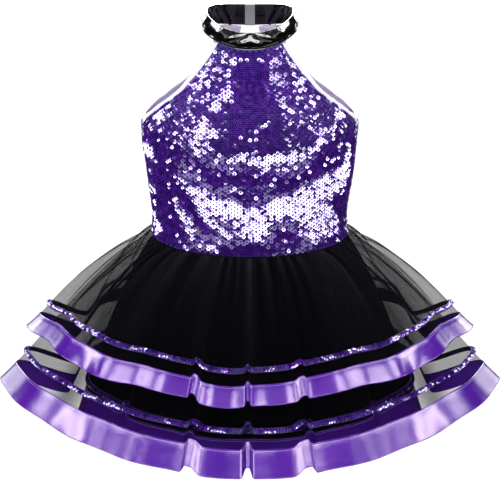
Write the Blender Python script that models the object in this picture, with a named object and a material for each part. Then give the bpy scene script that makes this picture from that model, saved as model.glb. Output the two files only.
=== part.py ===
"""A child's ballet tutu dress, filled out as it is worn: stand collar, halter bodice, three gathered tiers.

Metres, +Z up, the front of the dress towards -Y, the wearer's left towards +X. The origin is the middle of
the collar's hollow, where the wearer's neck holds the dress. Angles round the body run from 0 at the centre
front, through 90 degrees at the +X side seam, to 180 at the centre back.
"""
import math
from collections import namedtuple

import bmesh
import bpy
from mathutils import Vector

UP = Vector((0.0, 0.0, 1.0))

# Walls and seams
SEAM_GAP = 0.0003
HEM_GAP = 0.0005
COLLAR_WALL = 0.0018
BODICE_WALL = 0.0016
BAND_WALL = 0.0012
TULLE_WALL = 0.0010
LINING_WALL = 0.0010
RIBBON_WALL = 0.0012
BRAID_WALL = 0.0015

# Collar rims: mean height, front-to-back tilt and side lift of each, and its half width and half depth
Rim = namedtuple("Rim", "mean tilt side_lift half_width half_depth")
COLLAR_RIMS = (
    Rim(-0.0041, 0.0018, 0.0051, 0.0485, 0.0430),
    Rim(0.0053, 0.0034, 0.0047, 0.0477, 0.0428),
    Rim(0.0148, 0.0050, 0.0042, 0.0450, 0.0410),
)
COLLAR_STEPS = 40
CLOSURE_WIDTH = 0.010
CLOSURE_WALL = 0.0012

# Bodice: one row for each level, with the armhole's edge as an angle from the centre front, the edge of
# its deeper cut behind and the keyhole's edge as angles from the centre back
Level = namedtuple("Level", "height half_width half_depth armhole back_armhole keyhole")
NECK_EDGE = -0.0071
UNDERARM = -0.0980
WAIST = -0.2230
BODICE_LEVELS = (
    Level(NECK_EDGE, 0.0485, 0.0430, 41.0, 34.0, 16.8),
    Level(-0.0290, 0.0660, 0.0540, 44.7, 30.6, 16.9),
    Level(-0.0446, 0.0800, 0.0640, 48.2, 32.6, 17.4),
    Level(-0.0594, 0.0925, 0.0725, 52.3, 35.4, 16.9),
    Level(-0.0752, 0.1040, 0.0793, 62.0, 42.5, 15.0),
    Level(-0.0895, 0.1108, 0.0822, 73.5, 58.5, 12.0),
    Level(-0.0932, 0.1116, 0.0826, 78.8, 67.0, 11.1),
    Level(-0.0960, 0.1122, 0.0829, 83.0, 76.0, 10.3),
    Level(UNDERARM, 0.1125, 0.0831, 90.0, 90.0, 9.8),
    Level(-0.1060, 0.1122, 0.0830, 90.0, 90.0, 6.4),
    Level(-0.1120, 0.1118, 0.0829, 90.0, 90.0, 0.0),
    Level(-0.1360, 0.1092, 0.0815, 90.0, 90.0, 0.0),
    Level(-0.1680, 0.1052, 0.0788, 90.0, 90.0, 0.0),
    Level(-0.1980, 0.1018, 0.0768, 90.0, 90.0, 0.0),
    Level(WAIST, 0.1030, 0.0770, 90.0, 90.0, 0.0),
)
BODICE_STEPS = 10
NECK_SEAM = 0.0009

# Bindings: how far each row of the strip stands off the cut edge, and how far it rolls inwards
Roll = namedtuple("Roll", "out inward")
ARMHOLE_ROLL = (Roll(0.0, 0.0), Roll(0.5, 0.0012), Roll(1.0, 0.0042))
KEYHOLE_ROLL = (Roll(0.0, 0.0), Roll(1.0, 0.0008))
ARMHOLE_BAND = 0.0090
UNDERARM_BAND = 0.0045
BAND_TAPER = 0.7
KEYHOLE_BAND = 0.0050

# Skirt: each layer's own fall is a table of distance down the cloth and degrees below level
Fall = namedtuple("Fall", "distance angle")
UPPER_FALL = (
    Fall(0.0, 4), Fall(0.02, 18), Fall(0.04, 32), Fall(0.09, 40), Fall(0.14, 49), Fall(0.18, 45)
)
LOWER_FALL = (Fall(0.0, 16), Fall(0.04, 40), Fall(0.09, 46), Fall(0.14, 50), Fall(0.245, 52))
UNDER_FALL = (Fall(0.0, 50), Fall(0.04, 63), Fall(0.12, 69), Fall(0.23, 72))
LINING_FALL = (Fall(0.0, 56), Fall(0.06, 66), Fall(0.12, 75), Fall(0.168, 85))
FALL_STEP = 0.003
SKIRT_HALF_WIDTH = 0.1025
SKIRT_HALF_DEPTH = 0.0765
BRAID_WIDTH = 0.006

# The back drops more steeply than the front, most of all in a deep tuck behind each side seam
TUCK_ANGLE = math.radians(100)
TUCK_FRONT_SPREAD = math.radians(6.5)
TUCK_BACK_SPREAD = math.radians(12)
BACK_SHARE = 0.8
STEEP_SLOPE = math.radians(78)
STEEP_START = 0.03

# Between the centre and the sides each layer is shorter, less so in front and behind than at the sides
RISE_POWER = 1.3
RISE_AT_CENTRE = 0.6
# The stiff ribbons tip up at the sides, by an amount that grows quickly towards the hem
FLARE_GROWTH = 6

# Soft flutes grow towards the hem and rise outwards more than upwards. Those at the sides are lower, and
# the swells, each a number of waves round the body and a share of the height, make neighbours uneven
POINTS_PER_FLUTE = 4
FLUTE_GROWTH = 1.7
FLUTE_LIFT = 0.25
FLUTE_AT_SIDES = 0.45
Swell = namedtuple("Swell", "waves share")
SWELLS = (Swell(3, 0.18), Swell(5, 0.10))

# Folds: degrees round from the centre front, half widths in degrees towards -X and towards +X, and the
# depth at the hem, where the cloth goes in and a little up. A negative depth brings a panel forward
Fold = namedtuple("Fold", "turn low_side high_side depth")
FOLD_RISE = 0.4
FOLD_COLUMNS = (-1.4, -0.8, 0.8, 1.4)
UPPER_FOLDS = (
    Fold(-162.0, 1.2, 1.2, 0.008),
    Fold(-128.0, 1.4, 1.4, 0.006),
    Fold(-50.0, 15.0, 15.0, -0.009),
    Fold(-16.8, 0.9, 2.4, 0.007),
    Fold(-8.6, 6.0, 6.0, -0.004),
    Fold(-0.8, 1.0, 1.0, 0.007),
    Fold(15.6, 2.4, 0.9, 0.005),
    Fold(50.0, 15.0, 15.0, -0.009),
    Fold(136.0, 1.4, 1.4, 0.006),
    Fold(171.0, 1.2, 1.2, 0.008),
)
LOWER_FOLDS = (
    Fold(-168.0, 1.3, 1.3, 0.011),
    Fold(-140.0, 1.2, 2.6, 0.008),
    Fold(-16.2, 0.9, 3.2, 0.009),
    Fold(-0.8, 1.5, 1.5, 0.014),
    Fold(15.2, 3.2, 0.9, 0.009),
    Fold(130.0, 2.6, 1.2, 0.008),
    Fold(158.0, 1.3, 1.3, 0.011),
)
UNDER_FOLDS = (
    Fold(-150.0, 1.6, 1.6, 0.007),
    Fold(-52.0, 1.6, 2.4, 0.006),
    Fold(-22.0, 1.6, 2.4, 0.007),
    Fold(22.0, 2.4, 1.6, 0.007),
    Fold(52.0, 2.4, 1.6, 0.006),
    Fold(160.0, 1.6, 1.6, 0.007),
)

# Each layer: its place in the waist seam, cloth lengths, how much shorter it is between the centre and
# the sides, how far its hem tips up at the sides, how far it drops in the tuck, how its flutes stand at
# the hem, and its folds
Tier = namedtuple("Tier", "fall drop inset levels braid hem ribbon rise flare tuck flutes height lean folds")
UPPER_TIER = Tier(
    UPPER_FALL, 0.0, 0.0, (0.0, 0.022, 0.06),
    0.142, 0.159, 0.021, 0.026, 0.004, 0.56, 20, 0.0042, 0.0030, UPPER_FOLDS,
)
LOWER_TIER = Tier(
    LOWER_FALL, 0.00135, 0.0, (0.0, 0.022, 0.06, 0.12),
    0.195, 0.215, 0.0285, 0.018, 0.009, 0.62, 18, 0.0052, 0.0040, LOWER_FOLDS,
)
UNDER_TIER = Tier(
    UNDER_FALL, 0.0028, 0.0003, (0.0, 0.022, 0.06, 0.11),
    0.178, 0.188, 0.029, 0.008, 0.0, 0.30, 12, 0.0050, 0.0040, UNDER_FOLDS,
)
LINING = Tier(
    LINING_FALL, 0.0042, 0.0014, (0.0, 0.022, 0.06, 0.11),
    0.0, 0.168, 0.0, 0.006, 0.0, 0.30, 12, 0.0030, 0.0020, (),
)

# Finishes: colour, roughness and metallic value
SEQUINS = ((0.16, 0.02, 0.50, 1.0), 0.25, 0.3)
PATENT = ((0.012, 0.012, 0.014, 1.0), 0.12, 0.0)
GREY_TAPE = ((0.32, 0.32, 0.34, 1.0), 0.6, 0.0)
LAVENDER_SATIN = ((0.55, 0.42, 0.80, 1.0), 0.35, 0.0)
VIOLET_SATIN = ((0.30, 0.12, 0.62, 1.0), 0.3, 0.0)
BLACK_TULLE = ((0.02, 0.02, 0.024, 1.0), 0.7, 0.0)
BLACK_LINING = ((0.008, 0.008, 0.010, 1.0), 0.55, 0.0)
VIOLET_BRAID = ((0.12, 0.02, 0.38, 1.0), 0.2, 0.4)


def clear_scene():
    for item in list(bpy.data.objects):
        bpy.data.objects.remove(item)


def finish_material(name, finish):
    colour, roughness, metallic = finish
    material = bpy.data.materials.new(name)
    material.use_nodes = True
    shader = material.node_tree.nodes["Principled BSDF"]
    shader.inputs["Base Color"].default_value = colour
    shader.inputs["Roughness"].default_value = roughness
    shader.inputs["Metallic"].default_value = metallic
    return material


def smooth_row(table, at):
    """A row between the table's rows, on a smooth curve through every column; the first column is the key."""
    rows = sorted(tuple(row) for row in table)
    at = min(max(at, rows[0][0]), rows[-1][0])
    last = next(i for i in range(1, len(rows)) if at <= rows[i][0])
    before, start = rows[max(last - 2, 0)], rows[last - 1]
    end, after = rows[last], rows[min(last + 1, len(rows) - 1)]
    span = end[0] - start[0]
    t = (at - start[0]) / span
    row = [at]
    for column in range(1, len(start)):
        slope_in = (end[column] - before[column]) / (end[0] - before[0]) * span
        slope_out = (after[column] - start[column]) / (after[0] - start[0]) * span
        value = (2 * t**3 - 3 * t**2 + 1) * start[column] + (t**3 - 2 * t**2 + t) * slope_in
        value += (3 * t**2 - 2 * t**3) * end[column] + (t**3 - t**2) * slope_out
        row.append(value)
    return row


def straight_row(table, at):
    """The second column, read in straight lines between the table's rows."""
    for start, end in zip(table, table[1:]):
        if at <= end[0]:
            return start[1] + (end[1] - start[1]) * (at - start[0]) / (end[0] - start[0])
    return table[-1][1]


def round_body(angle, half_width, half_depth, height):
    return Vector((half_width * math.sin(angle), -half_depth * math.cos(angle), height))


def rim_height(rim, angle):
    """The height of one edge of the collar: low in front, high at the sides, lower again at the back."""
    return rim.mean - rim.tilt * math.cos(angle) - rim.side_lift * math.cos(2 * angle)


def torso(angle, height):
    """A point of the bodice. Above the underarm the levels bend up or down to end along the collar's edge."""
    _, half_width, half_depth, _, _, _ = smooth_row(BODICE_LEVELS, height)
    if height > UNDERARM:
        share = (height - UNDERARM) / (NECK_EDGE - UNDERARM)
        top = rim_height(COLLAR_RIMS[0], angle) - NECK_SEAM
        height = UNDERARM + share * (top - UNDERARM)
    return round_body(angle, half_width, half_depth, height)


def torso_normal(angle, height):
    step = 0.001
    across = torso(angle + step, height) - torso(angle - step, height)
    lower, upper = max(height - step, WAIST), min(height + step, NECK_EDGE)
    return across.cross(torso(angle, upper) - torso(angle, lower)).normalized()


def cloth(name, grids, wall, finish, closed=False, lift=0.0):
    """A wall of cloth through grids of points, whose rows run from the top down and from -X round to +X.

    lift moves the whole wall out from the grid, square to it, so that it lies on the piece below."""
    shape = bmesh.new()
    for rows in grids:
        points = [[shape.verts.new(point) for point in row] for row in rows]
        for upper, lower in zip(points, points[1:]):
            count = len(upper)
            for i in range(count if closed else count - 1):
                j = (i + 1) % count
                corners = [lower[i], lower[j], upper[j], upper[i]]
                shape.faces.new(corners)
    bmesh.ops.remove_doubles(shape, verts=shape.verts, dist=1e-6)
    shape.normal_update()
    moved = [vert.co + vert.normal * vert.calc_shell_factor() * lift for vert in shape.verts]
    for vert, place in zip(shape.verts, moved):
        vert.co = place
    mesh = bpy.data.meshes.new(name)
    shape.to_mesh(mesh)
    shape.free()
    mesh.shade_smooth()
    mesh.materials.append(finish_material(name, finish))
    piece = bpy.data.objects.new(name, mesh)
    bpy.context.collection.objects.link(piece)
    solid = piece.modifiers.new("wall", "SOLIDIFY")
    solid.thickness = wall
    solid.offset = 0.0
    solid.use_even_offset = True
    return piece


def mirrored(grid):
    """The same grid on the other side of the centre, with its rows still running from -X round to +X."""
    return [[Vector((-point.x, point.y, point.z)) for point in reversed(row)] for row in grid]


def make_collar():
    """One band of patent cloth whose ends meet at the centre back, and the tape over the join, inside."""
    half_gap = SEAM_GAP / 2 / COLLAR_RIMS[0].half_width
    angles = [
        -math.pi + half_gap + (2 * math.pi - 2 * half_gap) * i / COLLAR_STEPS
        for i in range(COLLAR_STEPS + 1)
    ]
    rows = [
        [round_body(angle, rim.half_width, rim.half_depth, rim_height(rim, angle)) for angle in angles]
        for rim in reversed(COLLAR_RIMS)
    ]
    cloth("collar", [rows], COLLAR_WALL, PATENT)

    inward = COLLAR_WALL / 2 + SEAM_GAP + CLOSURE_WALL / 2
    rows = []
    for rim in reversed(COLLAR_RIMS):
        row = []
        for side in (1, 0, -1):
            angle = math.pi - side * CLOSURE_WIDTH / 2 / rim.half_width
            row.append(round_body(angle, rim.half_width, rim.half_depth - inward, rim_height(rim, angle)))
        rows.append(row)
    cloth("collar_closure", [rows], CLOSURE_WALL, GREY_TAPE)


def make_bodice():
    """The sequinned front and back, cut as halters, and the back's keyhole."""
    side_seam = math.pi / 2 - SEAM_GAP / 2 / BODICE_LEVELS[-1].half_depth
    front = []
    for level in BODICE_LEVELS:
        step = min(math.radians(level.armhole), side_seam) / BODICE_STEPS
        front.append([torso(step * i, level.height) for i in range(-BODICE_STEPS, BODICE_STEPS + 1)])
    cloth("bodice_front", [front], BODICE_WALL, SEQUINS)

    half = []
    for level in BODICE_LEVELS:
        armhole = math.pi - min(math.radians(level.back_armhole), side_seam)
        keyhole = math.pi - math.radians(level.keyhole)
        step = (keyhole - armhole) / BODICE_STEPS
        half.append([torso(armhole + step * i, level.height) for i in range(BODICE_STEPS + 1)])
    cloth("bodice_back", [half, mirrored(half)], BODICE_WALL, SEQUINS)


def binding_rows(edge, ahead, roll, widths, first, last):
    """Rows of a binding that runs along a cut edge of the bodice and rolls inwards.

    edge is a list of (angle, height); ahead is 1 where the opening lies to the left of the run, seen from
    outside, and -1 where it lies to the right. first and last are the directions of the strip's two ends."""
    points = [torso(*place) for place in edge]
    rows = [[] for _ in roll]
    for i, (point, place) in enumerate(zip(points, edge)):
        normal = torso_normal(*place)
        run = points[min(i + 1, len(points) - 1)] - points[max(i - 1, 0)]
        across = normal.cross(run).normalized() * ahead
        if i == 0:
            across = first
        elif i == len(points) - 1:
            across = last
        for row, bend in zip(rows, roll):
            out = SEAM_GAP + bend.out * widths[i]
            row.append(point + across * out - normal * bend.inward * widths[i] / max(widths))
    return rows


def rim_run(angle):
    """The direction of the collar's lower edge, towards larger angles."""
    step = 0.01
    rim = COLLAR_RIMS[0]
    low, high = angle - step, angle + step
    start = round_body(low, rim.half_width, rim.half_depth, rim_height(rim, low))
    return (round_body(high, rim.half_width, rim.half_depth, rim_height(rim, high)) - start).normalized()


def make_bindings():
    """Satin strips round the two armholes and the keyhole, each ending under the collar."""
    upper = [level for level in BODICE_LEVELS if level.height >= UNDERARM]
    front = [(math.radians(level.armhole), level.height) for level in upper]
    back = [(math.pi - math.radians(level.back_armhole), level.height) for level in reversed(upper[:-1])]
    edge = front + back
    middle = len(front) - 1
    widths = [
        UNDERARM_BAND + (ARMHOLE_BAND - UNDERARM_BAND) * (abs(i - middle) / middle) ** BAND_TAPER
        for i in range(len(edge))
    ]
    rows = binding_rows(edge, 1, ARMHOLE_ROLL, widths, rim_run(edge[0][0]), -rim_run(edge[-1][0]))
    cloth("armhole_band_left", [list(reversed(rows))], BAND_WALL, LAVENDER_SATIN)
    other = [[Vector((-point.x, point.y, point.z)) for point in row] for row in rows]
    cloth("armhole_band_right", [other], BAND_WALL, LAVENDER_SATIN)

    open_levels = [level for level in BODICE_LEVELS if level.keyhole > 0]
    tip = next(level for level in BODICE_LEVELS if level.keyhole == 0)
    down = [(math.pi - math.radians(level.keyhole), level.height) for level in open_levels]
    up = [(2 * math.pi - angle, height) for angle, height in reversed(down)]
    edge = down + [(math.pi, tip.height)] + up
    widths = [KEYHOLE_BAND] * len(edge)
    rows = binding_rows(edge, 1, KEYHOLE_ROLL, widths, rim_run(edge[0][0]), -rim_run(edge[-1][0]))
    cloth("keyhole_binding", [list(reversed(rows))], BAND_WALL, LAVENDER_SATIN)


def back_share(angle):
    """How far the cloth has gone over to the steep hang of the back: 0 in front, 1 in the side tucks."""
    turned = math.pi - abs(math.pi - angle % (2 * math.pi)) - TUCK_ANGLE
    if turned < 0:
        return math.exp(-((turned / TUCK_FRONT_SPREAD) ** 2))
    return BACK_SHARE + (1 - BACK_SHARE) * math.exp(-((turned / TUCK_BACK_SPREAD) ** 2))


def slope_at(fall, length, tuck):
    slope = math.radians(straight_row(fall, length))
    return slope + (STEEP_SLOPE - slope) * tuck * min(length / STEEP_START, 1.0)


def fallen(fall, length, tuck):
    """How far out and how far down a layer has come, that many metres along its cloth."""
    out = down = 0.0
    steps = max(round(length / FALL_STEP), 1)
    for i in range(steps):
        slope = slope_at(fall, length * (i + 0.5) / steps, tuck)
        out += math.cos(slope) * length / steps
        down += math.sin(slope) * length / steps
    return out, down


def turned_from(angle, fold):
    """Degrees round from a fold, and that distance in half widths of the side it lies on."""
    turned = (math.degrees(angle) - fold.turn + 180) % 360 - 180
    return turned / (fold.low_side if turned < 0 else fold.high_side)


def fold_depth(tier, angle):
    """How far the folds draw the hem in at an angle: each has a flat floor and steep walls."""
    return sum(fold.depth * math.exp(-(turned_from(angle, fold) ** 4)) for fold in tier.folds)


def skirt_point(tier, angle, length):
    """A point of a gathered layer: it falls away from the waist, in flutes and folds that grow to the hem."""
    half_width, half_depth = SKIRT_HALF_WIDTH - tier.inset, SKIRT_HALF_DEPTH - tier.inset
    point = round_body(angle, half_width, half_depth, WAIST - SEAM_GAP - TULLE_WALL / 2 - tier.drop)
    along = Vector((half_width * math.cos(angle), half_depth * math.sin(angle), 0.0)).normalized()
    outward = along.cross(UP)

    diagonal = abs(2 * outward.x * outward.y) ** RISE_POWER
    diagonal *= RISE_AT_CENTRE + (1 - RISE_AT_CENTRE) * outward.x**2
    reach = length - tier.rise * diagonal * min(length / tier.hem, 1.0)
    out, down = fallen(tier.fall, reach, tier.tuck * back_share(angle))
    point += outward * out - UP * down

    grown = (length / (tier.hem + tier.ribbon)) ** FLUTE_GROWTH
    point -= (outward - UP * FOLD_RISE) * grown * fold_depth(tier, angle)
    point += UP * tier.flare * (length / (tier.hem + tier.ribbon)) ** FLARE_GROWTH * outward.x**4

    uneven = FLUTE_AT_SIDES + (1 - FLUTE_AT_SIDES) * math.cos(angle) ** 2
    uneven *= 1 + sum(swell.share * math.cos(swell.waves * angle) for swell in SWELLS)
    turn = tier.flutes * angle
    point -= (outward + UP * FLUTE_LIFT) * tier.height * grown * uneven * math.cos(turn)
    return point - along * tier.lean * grown * uneven * math.sin(turn)


def skirt_columns(tier):
    """The angles of a layer's columns: even ones, and closer ones of their own at each fold."""
    count = tier.flutes * POINTS_PER_FLUTE
    even = [2 * math.pi * i / count for i in range(count)]
    sharp = [fold for fold in tier.folds if fold.depth > 0]
    reach = max(FOLD_COLUMNS) + 0.4
    columns = [angle for angle in even if all(abs(turned_from(angle, fold)) > reach for fold in sharp)]
    for fold in sharp:
        for share in FOLD_COLUMNS:
            width = fold.low_side if share < 0 else fold.high_side
            columns.append(math.radians(fold.turn + share * width) % (2 * math.pi))
    return sorted(columns)


def skirt_rows(tier, levels):
    columns = skirt_columns(tier)
    return [[skirt_point(tier, angle, level) for angle in columns] for level in levels]


def make_tier(name, tier):
    """One tulle layer, the sequin braid that lies on it, and the satin ribbon that carries its hem on."""
    under_braid = (tier.braid - BRAID_WIDTH / 2, tier.braid + BRAID_WIDTH / 2)
    rows = skirt_rows(tier, tier.levels + under_braid + (tier.hem,))
    cloth(name + "_tulle", [rows], TULLE_WALL, BLACK_TULLE, closed=True)

    lift = TULLE_WALL / 2 + SEAM_GAP + BRAID_WALL / 2
    cloth(name + "_braid", [skirt_rows(tier, under_braid)], BRAID_WALL, VIOLET_BRAID, closed=True, lift=lift)

    ribbon = skirt_rows(tier, (tier.hem + HEM_GAP, tier.hem + tier.ribbon))
    cloth(name + "_ribbon", [ribbon], RIBBON_WALL, VIOLET_SATIN, closed=True)


def make_lining():
    rows = skirt_rows(LINING, LINING.levels + (LINING.hem,))
    cloth("skirt_lining", [rows], LINING_WALL, BLACK_LINING, closed=True)


clear_scene()
make_collar()
make_bodice()
make_bindings()
make_lining()
make_tier("under_tier", UNDER_TIER)
make_tier("lower_tier", LOWER_TIER)
make_tier("upper_tier", UPPER_TIER)
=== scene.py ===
import math
from collections import namedtuple

import bmesh
import bpy
import numpy as np
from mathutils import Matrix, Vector


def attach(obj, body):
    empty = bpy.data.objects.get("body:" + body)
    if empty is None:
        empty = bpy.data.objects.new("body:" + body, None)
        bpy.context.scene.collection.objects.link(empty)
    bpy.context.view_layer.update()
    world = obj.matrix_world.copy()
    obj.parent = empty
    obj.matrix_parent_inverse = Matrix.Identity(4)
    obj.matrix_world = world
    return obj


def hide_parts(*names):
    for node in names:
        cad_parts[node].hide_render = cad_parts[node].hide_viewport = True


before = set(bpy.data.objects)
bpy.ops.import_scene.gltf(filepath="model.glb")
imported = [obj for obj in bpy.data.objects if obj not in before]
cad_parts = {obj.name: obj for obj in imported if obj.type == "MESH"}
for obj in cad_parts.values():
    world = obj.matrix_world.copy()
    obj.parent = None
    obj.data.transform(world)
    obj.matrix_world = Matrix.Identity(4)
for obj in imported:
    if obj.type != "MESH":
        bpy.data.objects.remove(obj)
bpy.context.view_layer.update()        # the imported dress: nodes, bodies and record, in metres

rng = np.random.default_rng(7)

# Camera: aimed at the top of the skirt from straight in front and 20 degrees above level, with the focal
# length that was read off the photo in its own pixels
VIEW_TARGET = Vector((0.0, 0.0, -0.236))
VIEW_DISTANCE = 2.3
VIEW_ELEVATION = math.radians(20)
FOCAL_PIXELS, PHOTO_WIDTH = 2150, 500
lens = bpy.data.cameras.new("camera")
lens.sensor_width = 36.0
lens.lens = lens.sensor_width * FOCAL_PIXELS / PHOTO_WIDTH
camera = bpy.data.objects.new("camera", lens)
back = Vector((0.0, -math.cos(VIEW_ELEVATION), math.sin(VIEW_ELEVATION)))
camera.location = VIEW_TARGET + back * VIEW_DISTANCE
camera.rotation_euler = (math.pi / 2 - VIEW_ELEVATION, 0.0, 0.0)
bpy.context.collection.objects.link(camera)
bpy.context.scene.camera = camera
bpy.context.scene.view_settings.view_transform = "Standard"


# Floor: a plain white studio floor a metre under the collar, where a child's feet would stand. Painted
# board, rolled on, which gives a very faint mottle.
def linear(colour):
    """An sRGB hex colour as linear red, green, blue and full alpha."""
    parts = [int(colour[i : i + 2], 16) / 255 for i in (1, 3, 5)]
    return [c / 12.92 if c <= 0.04045 else ((c + 0.055) / 1.055) ** 2.4 for c in parts] + [1.0]


def add_node(tree, kind, values=None, stops=(), **settings):
    """A new node with its settings, and its inputs given values or joined to other nodes' outputs.

    A colour ramp also has stops: places from 0 to 1, each with a hex colour or a grey value."""
    node = tree.nodes.new("ShaderNode" + kind)
    for name, value in settings.items():
        setattr(node, name, value)
    for name, value in (values or {}).items():
        if isinstance(value, bpy.types.NodeSocket):
            tree.links.new(value, node.inputs[name])
        else:
            node.inputs[name].default_value = value
    for i, (place, colour) in enumerate(stops):
        marks = node.color_ramp.elements
        mark = marks[i] if i < len(marks) else marks.new(1.0)
        mark.position = place
        mark.color = linear(colour) if isinstance(colour, str) else (colour, colour, colour, 1.0)
    return node


def new_material(name, colour=None, **values):
    """A Principled material of that colour, with those inputs; an underscore stands for a space."""
    material = bpy.data.materials.new(name)
    material.use_nodes = True
    shader = material.node_tree.nodes["Principled BSDF"]
    if colour:
        shader.inputs["Base Color"].default_value = linear(colour)
    for key, value in values.items():
        shader.inputs[key.replace("_", " ")].default_value = value
    return material, material.node_tree, shader


def draw_pattern(tree, shader, pattern, shades, strength=0.0, depth=0.0):
    """Colour a material by a pattern, from shade to shade, and raise the pattern if it has a depth."""
    coloured = add_node(tree, "ValToRGB", {"Fac": pattern}, shades)
    tree.links.new(coloured.outputs["Color"], shader.inputs["Base Color"])
    if depth:
        raised = add_node(tree, "Bump", {"Height": pattern, "Strength": strength, "Distance": depth})
        tree.links.new(raised.outputs["Normal"], shader.inputs["Normal"])


MOTTLE_SIZE = 0.33
board, tree, shader = new_material("rolled_white_board", Roughness=0.9)
place = add_node(tree, "TexCoord").outputs["Object"]
mottle = add_node(tree, "TexNoise", {"Vector": place, "Scale": 1 / MOTTLE_SIZE}).outputs["Fac"]
draw_pattern(tree, shader, mottle, ((0.3, "#f6f6f7"), (0.7, "#f9f9fa")))
shape = bmesh.new()
bmesh.ops.create_grid(shape, x_segments=1, y_segments=1, size=30.0)
bmesh.ops.translate(shape, verts=shape.verts, vec=(0.0, 0.0, -1.0))
mesh = bpy.data.meshes.new("floor")
shape.to_mesh(mesh)
shape.free()
mesh.materials.append(board)
floor = bpy.data.objects.new("floor", mesh)
bpy.context.collection.objects.link(floor)
floor.visible_glossy = False

# Light: an even sky and a broad sun from above for the cloth, and soft boxes that only gloss sees, among
# dark drapes. The low boxes flash in the sequins, and the high ones make the satin light and dark. Each row
# but those at 0 and 180 degrees is a pair, a box to each side.
Box = namedtuple("Box", "name azimuth elevation distance width height glow")
SOFT_BOXES = (
    Box("low_front", 17, 27, 2.6, 1.25, 0.6, 15.0),
    Box("low_corner", 50, 27, 2.6, 1.25, 0.6, 15.0),
    Box("low_side", 85, 20, 2.6, 1.5, 0.6, 16.0),
    Box("low_rear_corner", 150, 10, 2.6, 1.1, 0.5, 10.0),
    Box("small_rear_corner", 132, 16, 2.6, 0.4, 0.3, 6.0),
    Box("dim_rear_corner", 148, -1, 2.6, 1.3, 0.5, 3.0),
    Box("low_rear", 180, 27, 2.6, 1.6, 0.5, 20.0),
    Box("dim_strip", 32, 9, 2.6, 2.7, 0.35, 2.0),
    Box("high_front", 0, 62, 2.4, 1.3, 0.5, 1.2),
    Box("high_corner", 54, 56, 2.4, 0.55, 0.4, 18.0),
    Box("middle_corner", 43, 49, 2.4, 0.35, 0.3, 9.0),
    Box("high_side", 82, 48, 2.4, 0.8, 0.3, 7.0),
    Box("middle_side", 77, 41, 2.4, 0.7, 0.2, 22.0),
    Box("high_rear", 180, 62, 2.4, 0.9, 0.5, 12.0),
)
for box in SOFT_BOXES:
    lamp = bpy.data.lights.new(box.name, "AREA")
    lamp.shape, lamp.size, lamp.size_y = "RECTANGLE", box.width, box.height
    lamp.energy = box.glow * math.pi * box.width * box.height
    lift = math.radians(box.elevation)
    for side in (-1, 1) if box.azimuth % 180 else (1,):
        turn = math.radians(side * box.azimuth)
        away = Vector((math.sin(turn) * math.cos(lift), -math.cos(turn) * math.cos(lift), math.sin(lift)))
        holder = bpy.data.objects.new(box.name, lamp)
        holder.location = VIEW_TARGET + away * box.distance
        holder.rotation_euler = away.to_track_quat("Z", "Y").to_euler()
        holder.visible_camera = False
        holder.visible_diffuse = False
        bpy.context.collection.objects.link(holder)
sun = bpy.data.lights.new("sun", "SUN")
sun.energy, sun.angle = 2.3, math.radians(50)
holder = bpy.data.objects.new("sun", sun)
holder.rotation_euler = (math.radians(16), math.radians(-8), 0.0)
holder.visible_glossy = False
bpy.context.collection.objects.link(holder)
world = bpy.data.worlds.new("sky")
world.use_nodes = True
world.node_tree.nodes["Background"].inputs["Color"].default_value = (0.95, 0.95, 0.97, 1.0)
mirrored = add_node(world.node_tree, "LightPath").outputs["Is Glossy Ray"]
drapes = add_node(world.node_tree, "MapRange", {"Value": mirrored, "To Min": 0.55, "To Max": 0.02})
world.node_tree.links.new(drapes.outputs["Result"], world.node_tree.nodes["Background"].inputs["Strength"])
bpy.context.scene.world = world

# Collar: a stand band of black patent cloth, faced with itself and stiffened, its two ends meeting at the
# centre back. The ends are ruched beside the join, and handling has left shallow dents, which the coating
# throws back as bright leaf shapes. Its lower edge is turned over a fine cord.
# Angles round the body are 0 at the centre front (-Y), 90 degrees at +X, and 180 at the centre back.
UP = np.array((0.0, 0.0, 1.0))
SEAM_GAP = 0.0003
COLLAR_WALL = 0.0018
Rim = namedtuple("Rim", "mean tilt side_lift half_width half_depth")
COLLAR_RIMS = (
    Rim(-0.0041, 0.0018, 0.0051, 0.0485, 0.0430),
    Rim(0.0053, 0.0034, 0.0047, 0.0477, 0.0428),
    Rim(0.0148, 0.0050, 0.0042, 0.0450, 0.0410),
)
# Dents, and the creases further on, are soft strokes: where their middle is along and up the cloth, the way
# they run in degrees, and their half length, half width and height. All but the degrees are in millimetres.
COLLAR_DENTS = (
    (-6, 6.8, 24, 6, 2.4, 1), (6.2, 6.6, -20, 5.5, 2.4, 1),
    (0, 10.5, 88, 4, 1.2, 0.4), (-15, 11.8, 24, 8.5, 1, 0.5),
    (-17.5, 8.2, 34, 7, 1.1, -0.4), (15.5, 12, -26, 8, 1, 0.5),
    (18, 8.6, -30, 7, 1.1, -0.4), (-33, 12, 62, 6, 2, 0.7),
    (-37, 6, 20, 8, 1.8, -0.5), (34, 11, -58, 6, 2, 0.7),
    (38, 6, -16, 8, 1.8, -0.5), (-62, 10, 44, 9, 2.2, 0.6),
    (64, 9.5, -40, 9, 2.2, 0.6), (-95, 11, 36, 12, 1.5, 1.5),
    (-101, 7.5, 40, 12, 1.4, -1.3), (-107, 11, 44, 10, 1.3, 1.4),
    (-116, 9, 52, 10, 1.4, -1.3), (94, 10.8, -34, 12, 1.4, 1.5),
    (100, 7.2, -42, 12, 1.5, -1.3), (108, 11, -46, 10, 1.3, 1.4),
    (117, 8.8, -50, 10, 1.4, -1.3),
)
RUCHE_START, RUCHE_END, RUCHE_EDGE = 0.0055, 0.0145, 0.0008
RUCHE_PITCH, RUCHE_HEIGHT = 0.0017, 0.00055
FINE_TURN = 0.36  # how far from the join, in radians, the grid is close enough for the ruching
CORD_HEIGHT, CORD_MIDDLE, CORD_HALF_WIDTH = 0.00036, 0.0010, 0.0009
COLLAR_RADIUS, COLLAR_HEIGHT = 0.0458, 0.0190


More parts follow.
